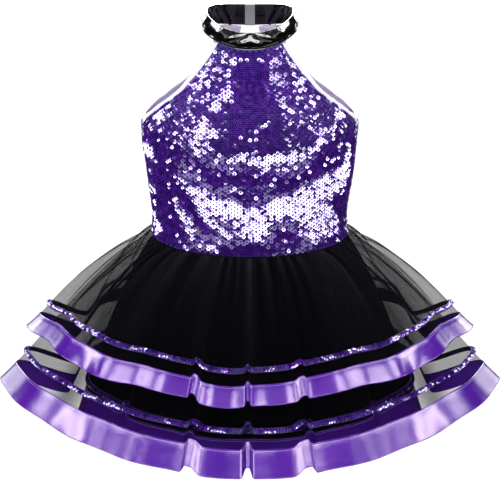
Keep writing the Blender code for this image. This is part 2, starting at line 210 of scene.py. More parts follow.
def unit(vectors):
    return vectors / np.maximum(np.linalg.norm(vectors, axis=-1, keepdims=True), 1e-12)


def smooth_rows(table, at):
    """The table's columns after the first, on smooth curves, as arrays read at an array of places."""
    rows = np.array(sorted(tuple(row) for row in table))
    keys = rows[:, 0]
    at = np.clip(at, keys[0], keys[-1])
    last = np.clip(np.searchsorted(keys, at, side="left"), 1, len(rows) - 1)
    before, start = rows[np.maximum(last - 2, 0)], rows[last - 1]
    end, after = rows[last], rows[np.minimum(last + 1, len(rows) - 1)]
    span = end[..., :1] - start[..., :1]
    t = (at[..., None] - start[..., :1]) / span
    slope_in = (end - before) / (end[..., :1] - before[..., :1]) * span
    slope_out = (after - start) / (after[..., :1] - start[..., :1]) * span
    value = (2 * t**3 - 3 * t**2 + 1) * start + (t**3 - 2 * t**2 + t) * slope_in
    value += (3 * t**2 - 2 * t**3) * end + (t**3 - t**2) * slope_out
    return np.moveaxis(value[..., 1:], -1, 0)


def round_body(angle, half_width, half_depth, height):
    parts = np.broadcast_arrays(half_width * np.sin(angle), -half_depth * np.cos(angle), height)
    return np.stack(parts, -1)


def rim_height(rim, angle):
    return rim.mean - rim.tilt * np.cos(angle) - rim.side_lift * np.cos(2 * angle)


def collar_layer(angles, stand, inward):
    """Points of the collar, or of cloth so far inward of it, a row for each share of its height."""
    keys = [(i / 2,) + tuple(rim[3:]) for i, rim in enumerate(COLLAR_RIMS)]
    half_widths, half_depths = smooth_rows(keys, stand)[..., None]
    edges = [rim_height(rim, angles) for rim in COLLAR_RIMS]
    low_share, high_share = np.clip(stand * 2, 0, 1)[:, None], np.clip(stand * 2 - 1, 0, 1)[:, None]
    height = edges[0] + (edges[1] - edges[0]) * low_share + (edges[2] - edges[1]) * high_share
    return round_body(angles, half_widths, half_depths - inward, height)


def grid_normals(grid, closed):
    """Outward normals of a grid of points, by the slopes between neighbours."""
    if closed:
        across = np.roll(grid, -1, 1) - np.roll(grid, 1, 1)
    else:
        across = np.gradient(grid, axis=1)
    return unit(np.cross(across, -np.gradient(grid, axis=0)))


def strokes(table, along, up):
    """The sum of a table's soft strokes at points of flat cloth, given in metres."""
    total = 0.0 * along
    for middle, height, run, length, width, size in table:
        run = math.radians(run)
        dx, dz = along * 1000 - middle, up * 1000 - height
        long, short = dx * math.cos(run) + dz * math.sin(run), dz * math.cos(run) - dx * math.sin(run)
        total = total + size * np.exp(-((long / length) ** 2) - (short / width) ** 2)
    return total


def cloth(name, grid, material, along, down, closed=False, wall=0.0, values=None):
    """A sheet of cloth: a flat grid, each of whose points is put where the worn cloth has it.

    grid holds those points, its rows from the top down and its columns from -X round to +X in front. along
    and down are its lengths in metres, for the UV map. A closed sheet is joined round, and a wall makes it
    thick. values are attributes, each with a number for every point."""
    if closed:
        grid = np.concatenate((grid, grid[:, :1]), 1)
    rows, columns, _ = grid.shape
    shape = bmesh.new()
    bmesh.ops.create_grid(shape, x_segments=columns - 1, y_segments=rows - 1, size=0.5)
    mesh = bpy.data.meshes.new(name)
    shape.to_mesh(mesh)
    mesh.vertices.foreach_set("co", grid[::-1].ravel())
    flat = np.stack(np.broadcast_arrays(along, -np.asarray(down)[:, None]), -1)[::-1].reshape(-1, 2)
    corners = np.empty(len(mesh.loops), dtype=np.int64)
    mesh.loops.foreach_get("vertex_index", corners)
    mesh.uv_layers.new(name="cloth").data.foreach_set("uv", flat[corners].ravel())
    for key, numbers in (values or {}).items():
        numbers = np.concatenate((numbers, numbers[:, :1]), 1) if closed else numbers
        mesh.attributes.new(key, "FLOAT", "POINT").data.foreach_set("value", numbers[::-1].ravel())
    shape.clear()
    shape.from_mesh(mesh)
    bmesh.ops.remove_doubles(shape, verts=shape.verts, dist=1e-7)
    shape.to_mesh(mesh)
    shape.free()
    mesh.shade_smooth()
    mesh.materials.append(material)
    piece = bpy.data.objects.new(name, mesh)
    bpy.context.collection.objects.link(piece)
    if wall:
        solid = piece.modifiers.new("wall", "SOLIDIFY")
        solid.thickness, solid.offset = wall, 0.0
    return piece


def line_run(points):
    """Metres along a line of points from its first one."""
    return np.concatenate(([0], np.cumsum(np.linalg.norm(np.diff(points, axis=0), axis=1))))


def run_along(grid):
    """Metres along each row of a grid that is joined round, from its first column to its join."""
    steps = np.linalg.norm(np.roll(grid, -1, 1) - grid, axis=-1)
    return np.concatenate((np.zeros((grid.shape[0], 1)), np.cumsum(steps, 1)), 1)


# Patent cloth: polyurethane cast on a knit and rolled glossy, black. Its coating has a slight orange-peel
# ripple and is a little duller in fine scuffs.
RIPPLE_SIZE, SCUFF_SIZE = 0.00556, 0.00111
patent, tree, shader = new_material(
    "patent_cloth", "#060607", IOR=1.55, Specular_IOR_Level=0.15, Coat_Weight=1.0, Coat_Roughness=0.04
)
place = add_node(tree, "TexCoord").outputs["Object"]
ripple = add_node(tree, "TexNoise", {"Vector": place, "Scale": 1 / RIPPLE_SIZE, "Detail": 2.0})
height = {"Height": ripple.outputs["Fac"], "Strength": 0.25, "Distance": 0.0006}
tree.links.new(add_node(tree, "Bump", height).outputs["Normal"], shader.inputs["Normal"])
scuffs = add_node(tree, "TexNoise", {"Vector": place, "Scale": 1 / SCUFF_SIZE, "Detail": 4.0})
dulled = add_node(tree, "ValToRGB", {"Fac": scuffs.outputs["Fac"]}, ((0.45, 0.12), (0.75, 0.30)))
tree.links.new(dulled.outputs["Color"], shader.inputs["Roughness"])

half_gap = SEAM_GAP / 2 / COLLAR_RIMS[0].half_width
near = np.linspace(-math.pi + half_gap, -math.pi + FINE_TURN, 64)
angles = np.concatenate((near, np.linspace(near[-1], -near[-1], 230)[1:-1], -near[::-1]))
stand = np.linspace(1.0, 0.0, 24)
grid = collar_layer(angles, stand, 0.0)
round_run = angles * COLLAR_RADIUS
up = stand * COLLAR_HEIGHT
relief = strokes(COLLAR_DENTS, round_run[None, :], up[:, None]) / 1000
relief += CORD_HEIGHT * np.exp(-(((up - CORD_MIDDLE) / CORD_HALF_WIDTH) ** 2))[:, None]
from_join = (math.pi - np.abs(angles)) * COLLAR_RIMS[0].half_depth
ruched = np.clip(np.minimum(from_join - RUCHE_START, RUCHE_END - from_join) / RUCHE_EDGE, 0, 1)
puckers = np.sin(2 * math.pi * from_join / RUCHE_PITCH + 0.9 * np.sin(900 * up)[:, None])
relief += RUCHE_HEIGHT * ruched * puckers * np.sin(math.pi * np.clip(stand, 0.04, 0.96))[:, None]
grid += grid_normals(grid, False) * relief[..., None]
collar = cloth("collar_band", grid, patent, round_run[None, :], -up, wall=COLLAR_WALL)
soft = collar.modifiers.new("turned_edges", "BEVEL")
soft.width, soft.segments, soft.limit_method, soft.angle_limit = 0.0006, 2, "ANGLE", math.radians(50)
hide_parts("collar")
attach(collar, "root")

# Closure: a woven grey tape, ribbed across, that faces the join of the collar's ends on the inside
CLOSURE_WIDTH = 0.010
CLOSURE_WALL = 0.0012
RIDGE_HEIGHT, RIB_ALLOWANCE = 0.00012, 0.0003
WAVE = math.pi / 10  # a wave texture at scale 1 goes from line to line in this many metres
TAPE_RIB = 0.000654
tape, tree, shader = new_material("ribbed_tape", Roughness=0.55, Sheen_Weight=0.3)
place = add_node(tree, "UVMap", uv_map="cloth").outputs["UV"]
ribbed = {"Vector": place, "Scale": WAVE / TAPE_RIB, "Distortion": 0.4}
ribs = add_node(tree, "TexWave", ribbed, bands_direction="X").outputs["Fac"]
draw_pattern(tree, shader, ribs, ((0.2, "#6d6d72"), (0.8, "#c9c9cf")), 0.6, 0.0004)
inward = COLLAR_WALL / 2 + SEAM_GAP + CLOSURE_WALL / 2
across = np.linspace(1, -1, 17)
ridge = RIDGE_HEIGHT * np.cos(across * 5 * math.pi)
half_widths = smooth_rows([(i / 2, rim.half_width) for i, rim in enumerate(COLLAR_RIMS)], stand)[0]
angles = math.pi - across[None, :] * CLOSURE_WIDTH / 2 / half_widths[:, None]
grid = collar_layer(angles, stand, inward + ridge[None, :])
across = across[None, :] * CLOSURE_WIDTH / 2
closure = cloth("closure_tape", grid, tape, across, -up, wall=CLOSURE_WALL - RIB_ALLOWANCE)
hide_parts("collar_closure")
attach(closure, "root")

# Bodice: stretch cloth cut as a halter, front and back, with a lavender satin inner face, joined at the
# side seams, and a keyhole at the centre back. Soft drag creases cross it.
WAIST = -0.2230
UNDERARM = -0.0980
NECK_EDGE = -0.0071
NECK_SEAM = 0.0009
KEYHOLE_TIP = -0.1120
Level = namedtuple("Level", "height half_width half_depth armhole back_armhole keyhole")
BODICE_LEVELS = (
    Level(NECK_EDGE, 0.0485, 0.0430, 41.0, 34.0, 16.8),
    Level(-0.0290, 0.0660, 0.0540, 44.7, 30.6, 16.9),
    Level(-0.0446, 0.0800, 0.0640, 48.2, 32.6, 17.4),
    Level(-0.0594, 0.0925, 0.0725, 52.3, 35.4, 16.9),
    Level(-0.0752, 0.1040, 0.0793, 62.0, 42.5, 15.0),
    Level(-0.0895, 0.1108, 0.0822, 73.5, 58.5, 12.0),
    Level(-0.0932, 0.1116, 0.0826, 78.8, 67.0, 11.1),
    Level(-0.0960, 0.1122, 0.0829, 83.0, 76.0, 10.3),
    Level(UNDERARM, 0.1125, 0.0831, 90.0, 90.0, 9.8),
    Level(-0.1060, 0.1122, 0.0830, 90.0, 90.0, 6.4),
    Level(KEYHOLE_TIP, 0.1118, 0.0829, 90.0, 90.0, 0.0),
    Level(-0.1360, 0.1092, 0.0815, 90.0, 90.0, 0.0),
    Level(-0.1680, 0.1052, 0.0788, 90.0, 90.0, 0.0),
    Level(-0.1980, 0.1018, 0.0768, 90.0, 90.0, 0.0),
    Level(WAIST, 0.1030, 0.0770, 90.0, 90.0, 0.0),
)
FRONT_CREASES = (
    (34, -190, 24, 75, 16, 2.4), (18, -133, -6, 55, 10, 1.8),
    (-40, -78, 58, 30, 9, 1.5), (-58, -150, -48, 50, 10, 1.8),
    (70, -112, 44, 35, 9, 1.4), (10, -60, 84, 30, 10, 1.2),
    (-20, -188, -34, 40, 9, 1.4),
)
BACK_CREASES = (
    (34, -186, -24, 70, 15, 2.4), (-40, -160, 30, 60, 12, 2),
    (0, -135, 4, 60, 10, 1.6), (65, -125, 52, 35, 9, 1.4),
    (-70, -200, -60, 30, 8, 1.2),
)


def torso(angle, height):
    """Points of the bodice; above the underarm its levels bend to end along the collar's edge."""
    angle, height = np.broadcast_arrays(np.asarray(angle, float), np.asarray(height, float))
    half_width, half_depth, _, _, _ = smooth_rows(BODICE_LEVELS, height)
    share = (height - UNDERARM) / (NECK_EDGE - UNDERARM)
    top = rim_height(COLLAR_RIMS[0], angle) - NECK_SEAM
    bent = np.where(height > UNDERARM, UNDERARM + share * (top - UNDERARM), height)
    return round_body(angle, half_width, half_depth, bent)


def torso_normal(angle, height):
    step = 0.001
    across = torso(angle + step, height) - torso(angle - step, height)
    down = torso(angle, np.minimum(height + step, NECK_EDGE)) - torso(angle, np.maximum(height - step, WAIST))
    return unit(np.cross(across, down))


def relief_at(creases, across, height):
    """How far the creases stand out, fading at the waist seam and under the collar."""
    held = np.clip((height - WAIST) / 0.012, 0, 1) * np.clip((NECK_EDGE - height) / 0.020, 0, 1)
    return strokes(creases, across, height) / 1000 * held


def panel(creases, heights, low, high, columns):
    """Points of a bodice panel between two edges, given as angles at each height, with its creases."""
    share = np.linspace(0, 1, columns)[None, :]
    angle = low[:, None] * (1 - share) + high[:, None] * share
    height = np.broadcast_to(heights[:, None], angle.shape)
    points, normals = torso(angle, height), torso_normal(angle, height)
    return points + normals * relief_at(creases, points[..., 0], height)[..., None]


# Stretch cloth: a knit dyed deep violet, in ribs down its length that are drawn 2 mm wide to show. Inner
# face: satin woven on a lavender warp, with a soft sheen and slack, cloudy puckers.
KNIT_RIB = 0.00196
CLOUD_SIZE, PUCKER_SIZE = 0.0625, 0.0143
FLOAT_LENGTH, THREAD_WIDTH = 0.00833, 0.000385
knit, tree, shader = new_material("violet_stretch_knit", Roughness=0.55, Sheen_Weight=0.15)
place = add_node(tree, "UVMap", uv_map="cloth").outputs["UV"]
ribs = add_node(tree, "TexWave", {"Vector": place, "Scale": WAVE / KNIT_RIB}, bands_direction="X")
draw_pattern(tree, shader, ribs.outputs["Fac"], ((0.2, "#1d0560"), (0.8, "#2c0a80")), 0.4, 0.0003)


def satin_cloth(name, low, high, puckered, **values):
    """Satin whose threads run along the cloth, its dye slightly uneven from one colour to the other."""
    material, tree, shader = new_material(name, **values)
    place = add_node(tree, "UVMap", uv_map="cloth").outputs["UV"]
    clouds = add_node(tree, "TexNoise", {"Vector": place, "Scale": 1 / CLOUD_SIZE, "Detail": 3.0})
    draw_pattern(tree, shader, clouds.outputs["Fac"], ((0.3, low), (0.7, high)))
    drawn = {"Vector": place, "Scale": (1 / FLOAT_LENGTH, 1 / THREAD_WIDTH, 1)}
    drawn = add_node(tree, "Mapping", drawn).outputs["Vector"]
    threads = add_node(tree, "TexNoise", {"Vector": drawn, "Scale": 1.0}).outputs["Fac"]
    puckers = add_node(tree, "TexNoise", {"Vector": place, "Scale": 1 / PUCKER_SIZE}).outputs["Fac"]
    height = add_node(tree, "Math", {0: puckers, 1: puckered, 2: threads}, operation="MULTIPLY_ADD")
    raised = {"Height": height.outputs["Value"], "Strength": 0.25, "Distance": 0.0002}
    tree.links.new(add_node(tree, "Bump", raised).outputs["Normal"], shader.inputs["Normal"])
    return material


lavender = satin_cloth("lavender_satin", "#e6d8fb", "#f3ebff", 5.0, Roughness=0.4, Sheen_Weight=0.3)

heights = np.linspace(NECK_EDGE, WAIST, 58)
_, _, armhole, back_armhole, keyhole = smooth_rows(BODICE_LEVELS, heights)
side_seam = math.pi / 2 - SEAM_GAP / 2 / BODICE_LEVELS[-1].half_depth
arm_edge, back_edge = (np.minimum(np.radians(edge), side_seam) for edge in (armhole, back_armhole))
key_edge = np.radians(np.where(heights <= KEYHOLE_TIP, 0.0, np.maximum(keyhole, 0.0)))
grid = panel(FRONT_CREASES, heights, -arm_edge, arm_edge, 71)
front = cloth("bodice_front_cloth", grid, knit, np.linspace(-0.15, 0.15, 71)[None, :], -heights, wall=0.0010)
halves = []
for low, high in ((math.pi - back_edge, math.pi - key_edge), (math.pi + key_edge, math.pi + back_edge)):
    grid = panel(BACK_CREASES, heights, low, high, 36)
    halves.append(cloth("bodice_back_half", grid, knit, np.linspace(0, 0.15, 36)[None, :], -heights))
shape = bmesh.new()
for half in halves:
    shape.from_mesh(half.data)
bmesh.ops.remove_doubles(shape, verts=shape.verts, dist=1e-6)
back = halves.pop()
shape.to_mesh(back.data)
shape.free()
bpy.data.objects.remove(halves.pop())
back.name = back.data.name = "bodice_back_cloth"
solid = back.modifiers.new("wall", "SOLIDIFY")
solid.thickness, solid.offset = 0.0010, 0.0
for piece, node in ((front, "bodice_front"), (back, "bodice_back")):
    piece.data.materials.append(lavender)
    piece.modifiers["wall"].material_offset = 1
    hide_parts(node)
    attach(piece, "root")

# Sequins: cupped rings of violet foil, 4.4 mm across, sewn in close columns, each lapping the one below.
# They hang a little proud of the cloth, and turn where it is slack. Where that is, is given by strokes like
# those of the creases, with the share of the slack in place of a height.
FRONT_LEANS = (
    (-14, -174, -31, 30, 9, 1.3), (36, -169, 14, 38, 12, 1.4),
    (74, -153, 23, 24, 11.5, 1.4), (67, -186, -78, 27, 12.5, 1.4),
    (60, -190, 20, 16, 11, 1.3), (2, -196, -21, 16, 9.5, 1.2),
    (-4, -114, -6, 19, 4.9, 0.95), (37, -116, 2, 24, 4.9, 0.95),
    (-29, -56, 52, 16, 5.6, 1.3), (-22, -33, -85, 8, 3.3, 0.8),
    (-48, -85, 54, 11, 4.4, 0.9), (-51, -110, -4, 7, 5.5, 0.8),
    (0, -18, 0, 17, 3.6, 0.75), (-18, -21, 39, 6, 2.8, 0.8),
    (-53, -159, -43, 33, 6.6, 1), (-72, -176, -62, 18, 5, 0.9),
    (-62, -195, -66, 16, 5.6, 1.05), (-26, -197, -37, 14, 4.6, 0.9),
    (-44, -180, -55, 18, 6, 1.05), (-102, -170, -91, 57, 7, 0.7),
    (-97, -208, -31, 7, 10.9, 1), (99, -134, -96, 28, 4.7, 0.8),
    (87, -198, -78, 18, 6, 0.9), (49, -45, -7, 7, 2.7, 0.8),
    (42, -69, -27, 9, 2.7, 0.7), (70, -102, 39, 12, 4.6, 0.7),
    (90, -82, -16, 6, 4, 0.8), (-90, -82, 16, 6, 4, 0.8),
    (5, -146, 2, 30, 3.9, 0.6), (-48, -46, 26, 14, 3.5, 0.65),
    (-107, -121, -85, 10, 9, 0.8), (-42, -211, -18, 16, 3.2, 0.6),
)
BACK_LEANS = (
    (24, -184, -9, 56, 10, 1), (-66, -160, 58, 28, 8, 1),
    (-60, -190, 70, 22, 9, 0.95), (52, -124, -20, 22, 5, 0.8),
    (85, -140, 88, 35, 6, 0.8), (66, -86, -48, 14, 4.5, 0.9),
    (-70, -94, 40, 12, 4.5, 0.8), (-40, -48, 60, 12, 4, 0.8),
    (30, -203, 12, 26, 4.5, 0.65), (-20, -199, -30, 18, 5, 0.7),
)
# Over the chest the sequins lie back to face 29.5 degrees up, and up to 4 more on the flanks; below the bust
# line, which rises to both sides, they hang 12 degrees off the cloth. Where it is slack they all face 23
# degrees up, and turn to the front, and there the soft boxes flash in them.
CHEST_FACING, FLANK_FACING, BELLY_HANG, FLASH_FACING = 29.5, 4, 12.0, 23.0
SLACK_GAIN = 1.3
FLASH_TURN = 35.0
BUST_LINE, BUST_RISE = -0.1145, 1.8
COLUMN_PITCH = 0.0031
ROW_PITCH = 0.0042
FIRST_ROW, LAST_ROW = 0.0024, 0.0012
ARMHOLE_MARGIN, KEYHOLE_MARGIN = 0.0016, 0.0020
SEQUIN_LIFT = 0.0011
SEQUIN_RINGS = ((0.0006, 0.0), (0.0011, 0.0), (0.0022, 0.00002))


def pierced_disc(rings, sides):
    """Points and quads of a thin dish with a hole: a circle of edges drawn out from ring to ring."""
    shape = bmesh.new()
    bmesh.ops.create_circle(shape, segments=sides, radius=rings[0][0])
    edge = shape.edges[:]
    for (inner, low), (outer, high) in zip(rings, rings[1:]):
        drawn = bmesh.ops.extrude_edge_only(shape, edges=edge)["geom"]
        edge = [part for part in drawn if isinstance(part, bmesh.types.BMEdge)]
        rim = [part for part in drawn if isinstance(part, bmesh.types.BMVert)]
        bmesh.ops.scale(shape, verts=rim, vec=(outer / inner, outer / inner, 1.0))
        bmesh.ops.translate(shape, verts=rim, vec=(0.0, 0.0, high - low))
    bmesh.ops.recalc_face_normals(shape, faces=shape.faces)
    if sum(face.normal.z for face in shape.faces) < 0:
        bmesh.ops.reverse_faces(shape, faces=shape.faces)
    shape.verts.index_update()
    points = np.array([vert.co[:] for vert in shape.verts])
    quads = np.array([[vert.index for vert in face.verts] for face in shape.faces])
    shape.free()
    return points, quads


def ring_share(points):
    """How far each point of a pierced disc lies from its hole (0) to its rim (1)."""
    radius = np.hypot(points[:, 0], points[:, 1])
    return (radius - radius.min()) / (radius.max() - radius.min())


def scatter(name, points, faces, origins, frames, material, values=None):
    """Many copies of a small shape as one mesh: a copy at each origin, turned to that frame's three axes.

    Values are one a copy, or one a point of the shape."""
    placed = origins[:, None, :] + np.einsum("vk,nkc->nvc", points, frames)
    corners = faces[None, :, :] + (np.arange(len(origins)) * len(points))[:, None, None]
    mesh = bpy.data.meshes.new(name)
    mesh.from_pydata(placed.reshape(-1, 3).tolist(), [], corners.reshape(-1, faces.shape[1]).tolist())
    for key, numbers in (values or {}).items():
        one_a_copy = len(numbers) == len(origins)
        numbers = np.repeat(numbers, len(points)) if one_a_copy else np.tile(numbers, len(origins))
        mesh.attributes.new(key, "FLOAT", "POINT").data.foreach_set("value", numbers)
    mesh.materials.append(material)
    piece = bpy.data.objects.new(name, mesh)
    bpy.context.collection.objects.link(piece)
    return piece


def sequin_places(turn):
    """Places of the sequins on the front (turn 0) or back (turn pi): angle from its centre, and height."""
    fine = np.linspace(WAIST, NECK_EDGE, 500)
    climbed = line_run(torso(turn, fine))
    turns = np.linspace(0, math.pi / 2, 91)
    found = []
    for step in range(int(climbed[-1] / (ROW_PITCH / 2))):
        height = np.interp(FIRST_ROW + step * ROW_PITCH / 2, climbed, fine)
        if height > NECK_EDGE - LAST_ROW:
            break
        arc = line_run(torso(turn + turns, height))
        _, _, armhole, back_armhole, keyhole = smooth_rows(BODICE_LEVELS, np.array([height]))[:, 0]
        edge = math.radians(back_armhole if turn > 0 else armhole)
        edge = np.interp(min(edge, side_seam), turns, arc) - ARMHOLE_MARGIN
        opened = turn > 0 and height > KEYHOLE_TIP
        inner = np.interp(math.radians(keyhole), turns, arc) + KEYHOLE_MARGIN if opened else -1.0
        for column in range(step % 2, int(edge / COLUMN_PITCH) + 1, 2):
            if column * COLUMN_PITCH > inner:
                angle = np.interp(column * COLUMN_PITCH, arc, turns)
                found += [(angle, height)] if column == 0 else [(angle, height), (-angle, height)]
    return np.array(found)


# Foil: PVC film dyed violet and lacquered, glossy as glass, so that a flash in it is white. The dye is a
# shade lighter on some than on others. The rim is painted paler, a painted edge highlight that is stronger
# on the lighter ones, and the sewing thread dulls the hole's edge.
foil, tree, shader = new_material(
    "violet_pvc_film", Metallic=0.25, Roughness=0.12, Coat_Roughness=0.07, Coat_IOR=1.8
)
tone = add_node(tree, "Attribute", attribute_name="tone").outputs["Fac"]
ring = add_node(tree, "Attribute", attribute_name="ring").outputs["Fac"]
dyed, rim, rim_highlight_share, coated, glossy = (
    add_node(tree, "ValToRGB", {"Fac": factor}, stops).outputs["Color"]
    for factor, stops in (
        (tone, ((0.0, "#2a006c"), (0.6, "#3c0086"), (1.0, "#560c9e"))),
        (ring, ((0.84, 0.0), (1.0, 1.0))),
        (tone, ((0.2, 0.1), (1.0, 1.0))),
        (ring, ((0.1, 0.0), (0.4, 1.0))),
        (ring, ((0.1, 0.0), (0.4, 0.5))),
    )
)
# Painted edge highlight: the rim of each sequin is painted paler, more so on the lighter ones
cut = add_node(tree, "Math", {0: rim, 1: rim_highlight_share}, operation="MULTIPLY").outputs["Value"]
painted_rim_highlight = {0: cut, 6: dyed, 7: linear("#a06ce0")}
tree.links.new(add_node(tree, "Mix", painted_rim_highlight, data_type="RGBA").outputs[2], shader.inputs["Base Color"])
tree.links.new(coated, shader.inputs["Coat Weight"])
tree.links.new(glossy, shader.inputs["Specular IOR Level"])


def sew_sequins(name, turn, creases, leans):
    """The front's or the back's sequins. All differ a little; a few are twisted, and a tenth of those below
    the bust hang loose."""
    places = sequin_places(turn)
    angle, height = turn + places[:, 0], places[:, 1]
    point, normal = torso(angle, height), torso_normal(angle, height)
    across, step = point[:, 0], 0.0015
    side = unit(np.cross(UP, normal))
    rise = np.cross(normal, side)
    sideways, upwards = (
        (relief_at(creases, across + x, height + z) - relief_at(creases, across - x, height - z)) / (2 * step)
        for x, z in ((step, 0.0), (0.0, step))
    )
    point = point + normal * (relief_at(creases, across, height) + SEQUIN_LIFT)[:, None]
    out = unit(normal - side * (sideways * side[:, 0])[:, None] - rise * upwards[:, None])
    above = np.clip((height - BUST_LINE - BUST_RISE * across**2) / 0.002, 0, 1)
    chest = CHEST_FACING + FLANK_FACING * normal[:, 0] ** 2 - np.degrees(np.arcsin(normal[:, 2]))
    rest = BELLY_HANG + (chest - BELLY_HANG) * above
    slack = np.clip(SLACK_GAIN * strokes(leans, across, height), 0, 1)
    lean = rest + (FLASH_FACING - np.degrees(np.arcsin(out[:, 2])) - rest) * slack
    lean += 1.5 * np.sin(across * 190 + 2 * np.sin(height * 130)) * np.sin(height * 160 + 1)
    lean += rng.normal(0, 1.8, len(lean)) + (rng.random(len(lean)) < 0.04) * rng.uniform(-8, 14, len(lean))
    lean += (rng.random(len(lean)) < 0.10) * rng.uniform(6, 20, len(lean)) * (1 - above)
    lean = np.radians(lean)[:, None]
    sway = np.radians(rng.normal(0, 2.2, len(lean)) - FLASH_TURN * slack * normal[:, 0] ** 3)[:, None]
    side = unit(np.cross(UP, out))
    rise = np.cross(out, side)
    facing = unit(out * np.cos(lean) + rise * np.sin(lean) + side * np.sin(sway))
    side = unit(np.cross(UP, facing))
    frames = np.stack((side, np.cross(facing, side), facing), 1)
    points, quads = pierced_disc(SEQUIN_RINGS, 8)
    lift = rng.uniform(0, 0.0003, len(point))
    values = {"tone": rng.random(len(point)), "ring": ring_share(points)}
    piece = scatter(name, points, quads, point + out * lift[:, None], frames, foil, values)
    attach(piece, "root")
    return piece


front_sequins = sew_sequins("bodice_front_sequins", 0.0, FRONT_CREASES, FRONT_LEANS)
back_sequins = sew_sequins("bodice_back_sequins", math.pi, BACK_CREASES, BACK_LEANS)

# Armhole bands: strips of lavender satin round the two armholes, rolled inwards, each ending under the
# collar; a narrow one binds the keyhole. The satin is folded over soft elastic, which puckers it a little.
ARMHOLE_BAND = 0.0090
UNDERARM_BAND = 0.0045
BAND_TAPER = 0.7
KEYHOLE_BAND = 0.0050
ARMHOLE_ROLL = ((0.0, 0.0), (0.5, 0.0012), (1.0, 0.0042))
KEYHOLE_ROLL = ((0.0, 0.0), (1.0, 0.0008))


def rim_run(angle):
    """The direction of the collar's lower edge, towards larger angles."""
    rim, step = COLLAR_RIMS[0], 0.01
    low, high = angle - step, angle + step
    start = round_body(low, rim.half_width, rim.half_depth, rim_height(rim, low))
    return unit(round_body(high, rim.half_width, rim.half_depth, rim_height(rim, high)) - start)


def binding(edge, roll, widths, rows, padding, pucker):
    """A rolled strip along a cut edge of the bodice, given as rows of (angle, height) from end to end."""
    points = torso(edge[:, 0], edge[:, 1])
    normal = torso_normal(edge[:, 0], edge[:, 1])
    across = unit(np.cross(normal, np.gradient(points, axis=0)))
    across[0], across[-1] = rim_run(edge[0, 0]), -rim_run(edge[-1, 0])
    share = np.linspace(0, 1, rows)
    inward = np.interp(share, [bend[0] for bend in roll], [bend[1] for bend in roll])
    out = SEAM_GAP + share[:, None] * widths[None, :]
    grid = points[None] + across[None] * out[..., None]
    grid -= normal[None] * (inward[:, None] * widths / widths.max())[..., None]
    run = line_run(points)
    swell = padding * np.sin(math.pi * share)[:, None]
    swell = swell + pucker * np.sin(run * 1500 + 2 * np.sin(run * 260))[None, :]
    ends = np.clip(np.minimum(run, run[-1] - run) / 0.006, 0, 1)[None, :]
    facing = grid_normals(grid[::-1], False)[::-1]
    return (grid + facing * (swell * ends)[..., None])[::-1], run, share * widths.mean()


def smooth_edge(corners, count):
    """A smooth run of (angle, height) through the corners of a cut edge."""
    rows = [(float(i),) + tuple(corner) for i, corner in enumerate(corners)]
    return np.stack(smooth_rows(rows, np.linspace(0, len(corners) - 1, count)), -1)


upper = [level for level in BODICE_LEVELS if level.height >= UNDERARM]
front_edge = [(math.radians(level.armhole), level.height) for level in upper]
back_edge = [(math.pi - math.radians(level.back_armhole), level.height) for level in reversed(upper[:-1])]
edge = smooth_edge(front_edge + back_edge, 181)
middle = abs(np.linspace(-1, 1, 181))
widths = UNDERARM_BAND + (ARMHOLE_BAND - UNDERARM_BAND) * middle**BAND_TAPER
grid, run, down = binding(edge, ARMHOLE_ROLL, widths, 9, 0.0004, 0.00008)
bands = [cloth("armhole_band_left_satin", grid, lavender, run[None, :], down, wall=0.0008)]
other = grid[:, ::-1] * (-1, 1, 1)
bands.append(cloth("armhole_band_right_satin", other, lavender, run[None, :], down, wall=0.0008))
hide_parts("armhole_band_left")
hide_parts("armhole_band_right")
for band in bands:
    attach(band, "root")

open_levels = [level for level in BODICE_LEVELS if level.keyhole > 0]
down_side = [(math.pi - math.radians(level.keyhole), level.height) for level in open_levels]
up_side = [(2 * math.pi - angle, height) for angle, height in reversed(down_side)]
edge = smooth_edge(down_side + [(math.pi, KEYHOLE_TIP)] + up_side, 151)
grid, run, down = binding(edge, KEYHOLE_ROLL, np.full(151, KEYHOLE_BAND), 7, 0.0003, 0.00006)
keyhole_strip = cloth("keyhole_binding_satin", grid, lavender, run[None, :], down, wall=0.0008)
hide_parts("keyhole_binding")
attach(keyhole_strip, "root")

# Skirt: three tiers of gathered black tulle over an opaque lining, each cut as a strip and set in the
# waist seam one behind the other. The back hangs more steeply, with a deep tuck behind each side seam.
TULLE_WALL = 0.0010
SKIRT_HALF_WIDTH = 0.1025
SKIRT_HALF_DEPTH = 0.0765
TUCK_ANGLE = math.radians(100)
TUCK_FRONT_SPREAD = math.radians(6.5)
TUCK_BACK_SPREAD = math.radians(12)
BACK_SHARE = 0.8
STEEP_SLOPE = math.radians(78)
STEEP_START = 0.03
RISE_POWER = 1.3
RISE_AT_CENTRE = 0.6
FLUTE_GROWTH = 1.7
FLUTE_LIFT = 0.25
FLUTE_AT_SIDES = 0.45
SWELLS = ((3, 0.18), (5, 0.10))
FOLD_RISE = 0.4
FLARE_GROWTH = 6
# Folds: degrees round from the centre front, half widths in degrees towards -X and towards +X, and the depth
# in millimetres by which the hem goes in, or comes forward where it is below 0.
UPPER_FOLDS = (
    (-162, 1.2, 1.2, 8), (-128, 1.4, 1.4, 6), (-50, 15, 15, -9),
    (-16.8, 0.9, 2.4, 7), (-8.6, 6, 6, -4), (-0.8, 1, 1, 7),
    (15.6, 2.4, 0.9, 5), (50, 15, 15, -9), (136, 1.4, 1.4, 6),
    (171, 1.2, 1.2, 8),
)
LOWER_FOLDS = (
    (-168, 1.3, 1.3, 11), (-140, 1.2, 2.6, 8), (-16.2, 0.9, 3.2, 9),
    (-0.8, 1.5, 1.5, 14), (15.2, 3.2, 0.9, 9), (130, 2.6, 1.2, 8),
    (158, 1.3, 1.3, 11),
)
UNDER_FOLDS = (
    (-150, 1.6, 1.6, 7), (-52, 1.6, 2.4, 6), (-22, 1.6, 2.4, 7),
    (22, 2.4, 1.6, 7), (52, 2.4, 1.6, 6), (160, 1.6, 1.6, 7),
)
